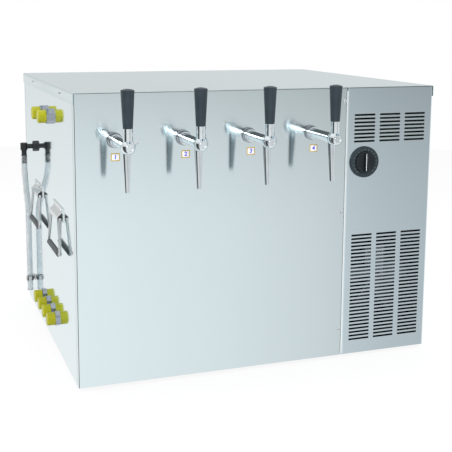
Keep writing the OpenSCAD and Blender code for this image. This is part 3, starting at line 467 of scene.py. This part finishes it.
FINISHES = {
    front_sheet: ["front_panel", "rear_panel"],
    service_sheet: ["service_panel"],
    side_sheet: ["left_panel", "right_panel"],
    cover_sheet: ["top_cover"],
    flange_chrome_shaded: ["tap_flanges"],
    tap_chrome: ["tap_bodies"],
    chrome: ["line_stems"] + each("tap_lever") + each("tap_compensator"),
    hinge_steel: ["handle_brackets"],
    bright_steel: each("handle_bail") + ["cabinet_screws"],
    zinc: ["hose_clip"],
    nut_zinc_shaded: ["lock_nuts"],
    galvanised: ["base_pan", "bath_tank", "agitator_rotor"],
    fin_metal_painted_shade: ["condenser", "fan_shroud"],
    blade_metal_painted_shade: ["fan_blades"],
    copper: ["evaporator_coil", "beer_coils"],
    lever_black: each("tap_grip"),
    fitting_black: ["overflow_elbow", "mains_gland", "agitator_motor", "thermostat_body"],
    paint_black: ["compressor", "fan_motor"],
    sleeve_grey: each("handle_grip"),
    foot_rubber: ["feet", "compressor_grommets"],
    cap_yellow: each("inlet_cap") + ["water_cap_1", "water_cap_2"],
    foam_cream: ["insulation", "bath_deck"],
    dial_grey: ["thermostat_bezel"],
    dial_black: ["thermostat_knob"],
}


def dress(piece, material):
    """Gives a piece one finish on all its faces."""
    if not piece.data.materials:
        piece.data.materials.append(material)
    for spot in piece.material_slots:
        spot.material = material


for material, names in FINISHES.items():
    for name in names:
        dress(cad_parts[name], material)

# the brushed front shows no image of the levers and their dark grips
for name in each("tap_grip") + each("tap_lever"):
    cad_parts[name].visible_glossy = False


def add(piece, material, body):
    """Finishes a new piece and lets it ride on a body."""
    dress(piece, material)
    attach(piece, body)
    return piece


# overflow hose: straight out of the elbow, an even S curve to the face, then down through the clip
HOSE_R, HOSE_BORE_R = 7 * MM, 5.6 * MM
HOSE_TOP, HOSE_END = place(-27, 474, 382), place(-12, 541, 42)
HOSE_DROP, HOSE_SWEEP = 20 * MM, 138 * MM
HOSE_STEPS, HOSE_SIDES = 90, 28


def hose_path():
    """Height falls evenly from the elbow; sideways it follows half of 1 - cos(pi t) between two
    straights."""
    z = np.linspace(HOSE_TOP[2], HOSE_END[2], HOSE_STEPS)
    t = np.clip((HOSE_TOP[2] - HOSE_DROP - z) / HOSE_SWEEP, 0, 1)
    ease = (0.5 - 0.5 * np.cos(np.pi * t))[:, None]
    path = HOSE_TOP + ease * (HOSE_END - HOSE_TOP)
    path[:, 2] = z
    return path


path = hose_path()
wall = swept_wall(path, HOSE_R, HOSE_BORE_R, HOSE_SIDES)
hose_faces = grid_faces(len(wall), HOSE_SIDES, wrap_rows=True)
hose = mesh_piece("overflow_clear_hose", wall, hose_faces)
add(hose, clear_vinyl, "cabinet")
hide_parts("overflow_hose")

# tap number stickers below the taps
STICKER_X, STICKER_Z = (76, 212, 345, 479.5), 440
STICKER_W, STICKER_H, STICKER_EDGE = 17 * MM, 15 * MM, 1.9 * MM
BORDER_R, FIELD_R = 1.6 * MM, 0.8 * MM
FOIL = 0.15 * MM
DIGIT_H, DIGIT_BOLD, DIGIT_FOIL = 11.5 * MM, 0.3 * MM, 0.05 * MM
border_line = rounded_outline(STICKER_W, STICKER_H, BORDER_R)
field_line = rounded_outline(STICKER_W - 2 * STICKER_EDGE, STICKER_H - 2 * STICKER_EDGE, FIELD_R)
raised = np.array([0, -FOIL, 0])
for i, x in zip(FOUR, STICKER_X):
    spot = place(x, 0, STICKER_Z)
    border = plate(f"number_border_{i}", border_line, FOIL, spot)
    add(border, sticker_amber, "cabinet")
    field = plate(f"number_field_{i}", field_line, FOIL, spot + raised)
    add(field, sticker_white, "cabinet")
    digit = figure(f"number_figure_{i}", str(i), DIGIT_H, DIGIT_BOLD, spot + 2 * raised, DIGIT_FOIL)
    add(digit, figure_blue, "cabinet")

# thermostat: tick marks round the bezel, and a white line on the grip bar, a painted highlight of
# the bar's edge
DIAL_X, _, DIAL_Z = place(594, 0, 407)
BEZEL_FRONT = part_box("thermostat_bezel")[0].y
KNOB_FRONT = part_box("thermostat_knob")[0].y
TICKS, TICK_R, TICK_FROM, TICK_TO = 17, 26 * MM, 227, -45
TICK_HALVES = [0.9 * MM, 0.35 * MM, 0.06 * MM]
BAR_GLINT_RIGHT, BAR_GLINT_UP = -2.2 * MM, 0.8 * MM
BAR_GLINT_HALVES = [0.55 * MM, 0.06 * MM, 17.6 * MM]
a = np.radians(np.linspace(TICK_FROM, TICK_TO, TICKS))
outward = np.stack([np.cos(a), 0 * a, np.sin(a)], -1)
around = np.stack([-np.sin(a), 0 * a, np.cos(a)], -1)
forward = np.tile([0.0, -1.0, 0.0], (TICKS, 1))
ticks = boxes("dial_ticks", [DIAL_X, BEZEL_FRONT, DIAL_Z] + TICK_R * outward,
              np.stack([outward, around, forward], 1), np.tile(TICK_HALVES, (TICKS, 1)))
add(ticks, mark_grey, "cabinet")
bar_glint_at = [DIAL_X + BAR_GLINT_RIGHT, KNOB_FRONT, DIAL_Z + BAR_GLINT_UP]
bar_glint = boxes("dial_bar_glint", [bar_glint_at], np.eye(3)[None], [BAR_GLINT_HALVES])
add(bar_glint, glint_white, "thermostat_knob")

# cross recesses in the screw heads
SCREW_HEAD, RECESS_W, RECESS_L, RECESS_D = 2.05 * MM, 0.45 * MM, 2.2 * MM, 0.08 * MM
SEAM_SCREWS = [place(547, 0, z) - [0, SCREW_HEAD, 0] for z in (56, 305, 532)]
COVER_SCREWS = [place(-1.5, y, 550) - [SCREW_HEAD, 0, 0] for y in (134, 480)]
COVER_SCREWS += [place(751.5, y, 550) + [SCREW_HEAD, 0, 0] for y in (134, 480)]


def crosses(name, centres, *axes):
    """Two crossed bars in each screw head: along, across and into the head."""
    bars = [[RECESS_L, RECESS_W, RECESS_D], [RECESS_W, RECESS_L, RECESS_D]]
    n = len(centres)
    turned = np.tile(np.array([axes], float), (2 * n, 1, 1))
    return boxes(name, np.repeat(centres, 2, axis=0), turned, np.tile(bars, (n, 1)))


seam_crosses = crosses("seam_screw_recess", SEAM_SCREWS, (1, 0, 0), (0, 0, 1), (0, 1, 0))
cover_crosses = crosses("cover_screw_recess", COVER_SCREWS, (0, 1, 0), (0, 0, 1), (1, 0, 0))
add(seam_crosses, zinc, "cabinet")
add(cover_crosses, zinc, "cabinet")

# folded edge of the service panel, which covers the seam; its lighter steel is a painted highlight
EDGE_LEFT, EDGE_W, EDGE_H = 551.3, 3.0 * MM, 0.9 * MM
EDGE_LOW, EDGE_HIGH = 3, 553


def folded_edge(name, low, high, width, height):
    """A wedge from low to high that stands up at its left and slopes to nothing at its right."""
    profile = np.array([[0, 0, 0], [0, -height, 0], [width, 0, 0]])
    points = np.concatenate([low + profile, high + profile])
    return mesh_piece(name, points, grid_faces(2, 3) + [[2, 1, 0], [3, 4, 5]], smooth=False)


edge = folded_edge("seam_edge", place(EDGE_LEFT, 0, EDGE_LOW), place(EDGE_LEFT, 0, EDGE_HIGH),
                   EDGE_W, EDGE_H)
add(edge, edge_steel_highlight, "cabinet")

# camera: fitted to the cabinet's corners in the photograph
IMAGE_SIDE = 452
CAMERA_AT = Vector(place(-308.5, -1645.5, 693.0))
YAW, PITCH, ROLL = (math.radians(v) for v in (20.1, 9.02, 0.37))
FOCAL_PIXELS, CENTRE_ROW = 918.1, 165
SENSOR = 36.0
reach, drop = math.cos(PITCH), math.sin(PITCH)
look = Vector((math.sin(YAW) * reach, math.cos(YAW) * reach, -drop))
level_right = Vector((math.cos(YAW), -math.sin(YAW), 0))
level_up = level_right.cross(look)
right = level_right * math.cos(ROLL) + level_up * math.sin(ROLL)
up = level_up * math.cos(ROLL) - level_right * math.sin(ROLL)
camera_data = bpy.data.cameras.new("photo_camera")
camera_data.sensor_width = SENSOR
camera_data.lens = FOCAL_PIXELS / IMAGE_SIDE * SENSOR
camera_data.shift_y = (CENTRE_ROW - IMAGE_SIDE / 2) / IMAGE_SIDE
camera = bpy.data.objects.new("photo_camera", camera_data)
turned = Matrix((right, up, -look)).transposed().to_4x4()
camera.matrix_world = Matrix.Translation(CAMERA_AT) @ turned
bpy.context.scene.collection.objects.link(camera)
bpy.context.scene.camera = camera

# studio: pale floor, soft lamps, and a world that is white to the eye
FLOOR_R, FLOOR_EYE, FLOOR_RINGS, FLOOR_SIDES = 3.2, 0.02, 6, 64
FLOOR_TONE, FLOOR_ROUGH, FLOOR_GLOW = 0.9, 0.9, 0.88


def ray_seen(tree, *kinds):
    """1 for the given kinds of ray and 0 for the others."""
    rays = tree.nodes.new("ShaderNodeLightPath")
    total = rays.outputs[kinds[0]]
    for kind in kinds[1:]:
        total = number(tree, "MAXIMUM", total, rays.outputs[kind])
    return total


def pale_floor():
    """A round floor as rings of points, white to the eye with a faint shadow; metal sees the room
    instead."""
    a = np.linspace(0, 2 * np.pi, FLOOR_SIDES, endpoint=False)
    r = np.linspace(FLOOR_R, FLOOR_EYE, FLOOR_RINGS)[:, None]
    points = np.stack([r * np.cos(a), r * np.sin(a), 0 * r * a], -1)
    middle = list(range((FLOOR_RINGS - 1) * FLOOR_SIDES, FLOOR_RINGS * FLOOR_SIDES))
    floor = mesh_piece("studio_floor", points, grid_faces(FLOOR_RINGS, FLOOR_SIDES) + [middle])
    material, tree, shader = finish("floor_white", Base_Color=grey(FLOOR_TONE),
                                    Roughness=FLOOR_ROUGH)
    glow = tree.nodes.new("ShaderNodeEmission").outputs["Emission"]
    seen = ray_seen(tree, "Is Camera Ray", "Is Glossy Ray", "Is Transmission Ray")
    share = number(tree, "MULTIPLY", seen, FLOOR_GLOW)
    surface = mix_shaders(tree, share, shader.outputs["BSDF"], glow)
    tree.links.new(surface, tree.nodes["Material Output"].inputs["Surface"])
    floor.data.materials.append(material)
    floor.visible_glossy = False


# light on all but metal
PLAIN_TINT, PLAIN_LEVEL = colour(0.97, 0.99, 1.0), 0.62
# a ramp holds levels up to 1, so those by bearing are kept as parts of this one
ROOM_LEVEL = 1.7
# grey levels by height of the direction, from straight down at -1 to straight up at 1
FRONT_HEIGHTS = ((-0.6, 0.97), (-0.2, 1.0), (-0.14, 0.895), (-0.09, 0.77), (-0.03, 0.6),
                 (0.06, 0.3), (0.15, 0.14), (0.5, 0.12), (0.68, 0.4), (0.85, 1.0))
BACK_HEIGHTS = ((-0.5, 0.95), (-0.2, 0.88), (-0.05, 0.78), (0.02, 0.68), (0.15, 0.665),
                (0.4, 0.8), (0.8, 1.0))
# y of the direction where the front gives way to the back
FRONT_TO_BACK = (-0.85, -0.65)
# grey levels by bearing in degrees: 0 is straight out of the front, -90 left, 90 right
BEARINGS = ((-165, 1.0), (-150, 1.0), (-125, 1.08), (-107, 1.08), (-93, 0.08), (-58, 0.08),
            (-48, 0.6), (-36, 1.05), (11, 1.0), (20, 0.9), (26, 0.8), (30, 0.67), (36, 0.56),
            (46, 0.85), (60, 1.05), (95, 1.0), (130, 1.15), (165, 1.05))
# heights between which the bearings stop counting
SIDES_FADE = (0.18, 0.35)


def background(tree, tint, strength):
    """A background of one colour, or of the colour that a node gives."""
    node = tree.nodes.new("ShaderNodeBackground")
    feed(tree, node.inputs["Color"], tint)
    node.inputs["Strength"].default_value = strength
    return node.outputs["Background"]


def studio_world():
    """White to the camera; metal sees a room that is pale below and behind, dark at the upper
    front, with a dark gap at the left and a dim right side; all else gets an even plain level."""
    world = bpy.data.worlds.new("studio")
    bpy.context.scene.world = world
    world.use_nodes = True
    tree = world.node_tree
    tree.nodes.remove(tree.nodes["Background"])
    way = split(tree, coordinates(tree, "Generated"))
    height = spread(tree, way["Z"], 0.0, 1.0, -1.0, 1.0)
    front, back = (level_ramp(tree, height, [((z + 1) / 2, level) for z, level in heights])
                   for heights in (FRONT_HEIGHTS, BACK_HEIGHTS))
    room = mix_colours(tree, spread(tree, way["Y"], 0.0, 1.0, *FRONT_TO_BACK), front, back)
    bearing = number(tree, "ARCTAN2", way["X"], number(tree, "MULTIPLY", way["Y"], -1.0))
    turn = spread(tree, bearing, 0.0, 1.0, -math.pi, math.pi)
    stops = [((angle + 180) / 360, level / ROOM_LEVEL) for angle, level in BEARINGS]
    low = spread(tree, way["Z"], 1.0, 0.0, *SIDES_FADE)
    sides = mix_colours(tree, low, grey(1 / ROOM_LEVEL), level_ramp(tree, turn, stops))
    whole = mix_colours(tree, 1.0, room, sides, "MULTIPLY")
    lit = mix_shaders(tree, ray_seen(tree, "Is Glossy Ray"),
                      background(tree, PLAIN_TINT, PLAIN_LEVEL),
                      background(tree, whole, ROOM_LEVEL))
    seen = ray_seen(tree, "Is Camera Ray", "Is Transmission Ray")
    surface = mix_shaders(tree, seen, lit, background(tree, grey(1.0), 1.0))
    tree.links.new(surface, tree.nodes["World Output"].inputs["Surface"])


def soft_lamp(name, at, side, watts, mirrored):
    """A square lamp that faces the cooler's middle; metal shows its image only where mirrored."""
    lamp = bpy.data.lights.new(name, "AREA")
    lamp.shape = "RECTANGLE"
    lamp.size = side
    lamp.size_y = side
    lamp.energy = watts
    holder = bpy.data.objects.new(name, lamp)
    holder.visible_glossy = mirrored
    aim = (MIDDLE - Vector(at)).to_track_quat("-Z", "Y").to_matrix().to_4x4()
    holder.matrix_world = Matrix.Translation(Vector(at)) @ aim
    bpy.context.scene.collection.objects.link(holder)


MIDDLE = Vector((0, 0, 0.3))
pale_floor()
studio_world()
soft_lamp("key_lamp", (-0.8, -2.3, 1.7), 1.1, 40, mirrored=False)
soft_lamp("low_lamp", (-0.85, -2.6, 0.95), 0.3, 3.5, mirrored=True)
soft_lamp("top_lamp", (0.3, 0.2, 2.6), 2.0, 40, mirrored=False)
soft_lamp("left_lamp", (-2.4, 0.6, 1.0), 1.2, 22, mirrored=False)

bpy.context.scene.view_settings.view_transform = "Standard"
